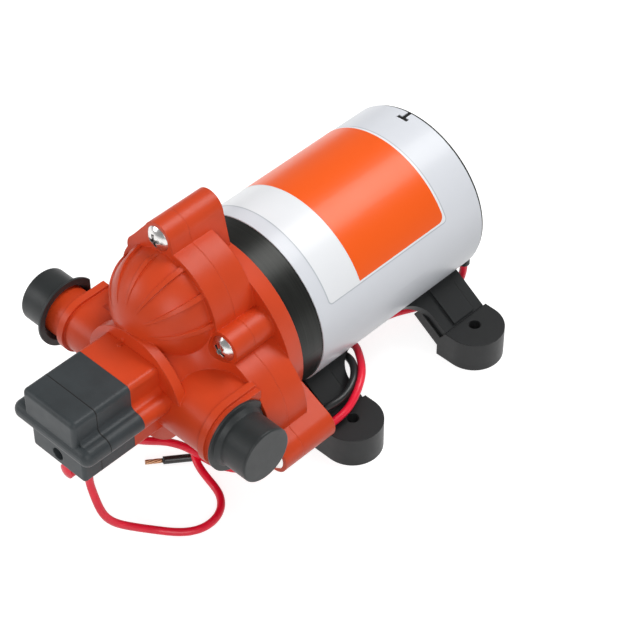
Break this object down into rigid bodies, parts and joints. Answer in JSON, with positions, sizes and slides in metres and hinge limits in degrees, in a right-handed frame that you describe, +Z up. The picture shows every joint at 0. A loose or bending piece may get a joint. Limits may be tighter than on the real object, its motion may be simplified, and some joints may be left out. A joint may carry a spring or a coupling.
{
  "type": "diaphragm water pump",
  "caption": "Compact electric diaphragm water pump: ribbed pump head with capped side ports and a booted pressure switch, round motor in a cradle on soft feet.",
  "frame": {"origin": "on the floor at the centre of the four foot holes", "axes": "+Z up, +Y along the motor from the pump head to the rear cover, +X to the right port"},
  "size_m": [0.1248, 0.2051, 0.1105],
  "materials": {
    "orange_plastic": "moulded satin",
    "boot_rubber": "matt moulded",
    "foot_rubber": "matt moulded",
    "cradle_plastic": "moulded satin",
    "cover_paint": "black satin",
    "sleeve_film": "smooth film",
    "can_steel": "dark plated",
    "screw_steel": "bright stainless",
    "bearing_steel": "ground",
    "red_insulation": "smooth",
    "black_insulation": "smooth",
    "copper": "bare copper",
    "seal_rubber": "smooth",
    "valve_plastic": "moulded",
    "white_plastic": "moulded",
    "die_cast": "as cast",
    "core_iron": "laminated",
    "carbon": "pressed carbon",
    "button_plastic": "moulded",
    "tab_brass": "stamped"
  },
  "bodies": {
    "pump_body": {"upper_housing": "orange_plastic", "lower_housing": "orange_plastic", "switch_housing": "orange_plastic", "boot_rear": "boot_rubber", "boot_front": "boot_rubber", "rubber_feet": "foot_rubber", "lead_grommets": "foot_rubber", "base_cradle": "cradle_plastic", "end_bell": "cover_paint", "motor_sleeve": "sleeve_film", "motor_can": "can_steel", "long_screws": "screw_steel", "short_screws": "screw_steel", "switch_spring": "screw_steel", "brush_springs": "screw_steel", "motor_bearings": "bearing_steel", "motor_lead_red": "red_insulation", "supply_lead_red": "red_insulation", "red_terminal": "red_insulation", "motor_lead_black": "black_insulation", "bare_lead_ends": "copper", "diaphragm": "seal_rubber", "inlet_valves": "seal_rubber", "outlet_valve": "seal_rubber", "valve_seal": "seal_rubber", "pressure_diaphragm": "seal_rubber", "valve_plate": "valve_plastic", "brush_card": "valve_plastic", "micro_switch": "valve_plastic", "front_plate": "die_cast", "magnets": "core_iron", "brushes": "carbon", "switch_tabs": "tab_brass"},
    "rotor": {"motor_shaft": "bearing_steel", "armature_core": "core_iron", "armature_windings": "copper", "commutator": "copper", "cam_hub": "bearing_steel"},
    "wobble": {"wobble_plate": "die_cast", "pistons": "white_plastic", "piston_screws": "screw_steel", "cam_bearing": "bearing_steel"},
    "plunger": {"switch_plunger": "white_plastic"},
    "button": {"switch_button": "button_plastic"},
    "adjuster": {"adjusting_screw": "screw_steel"},
    "left_cap": {"left_port_cap": "boot_rubber"},
    "right_cap": {"right_port_cap": "boot_rubber"}
  },
  "joints": [
    {"name": "rotor_spin", "type": "hinge", "parent": "pump_body", "child": "rotor", "pos_m": [0, 0, 0.05], "axis": [0, -1, 0], "continuous": true},
    {"name": "wobble_follow", "type": "hinge", "parent": "rotor", "child": "wobble", "pos_m": [0, -0.073, 0.05], "axis": [0, -0.9986, -0.0523], "continuous": true, "deforming": ["diaphragm"]},
    {"name": "plunger_slide", "type": "slide", "parent": "pump_body", "child": "plunger", "axis": [0, -1, 0], "range_m": [0, 0.0015], "stiffness_N_per_m": 800, "deforming": ["switch_spring"]},
    {"name": "button_slide", "type": "slide", "parent": "pump_body", "child": "button", "axis": [0, -1, 0], "range_m": [0, 0.0015]},
    {"name": "adjuster_turn", "type": "hinge", "parent": "pump_body", "child": "adjuster", "pos_m": [0, -0.13, 0.0415], "axis": [0, -1, 0], "range_deg": [-180, 180]},
    {"name": "left_cap_pull", "type": "slide", "parent": "pump_body", "child": "left_cap", "axis": [-1, 0, 0], "range_m": [-0.005, 0.015]},
    {"name": "right_cap_pull", "type": "slide", "parent": "pump_body", "child": "right_cap", "axis": [1, 0, 0], "range_m": [0, 0.02]}
  ],
  "couplings": [
    {"joint": "wobble_follow", "follows": "rotor_spin", "ratio": -1},
    {"joint": "button_slide", "follows": "plunger_slide", "ratio": 1}
  ]
}
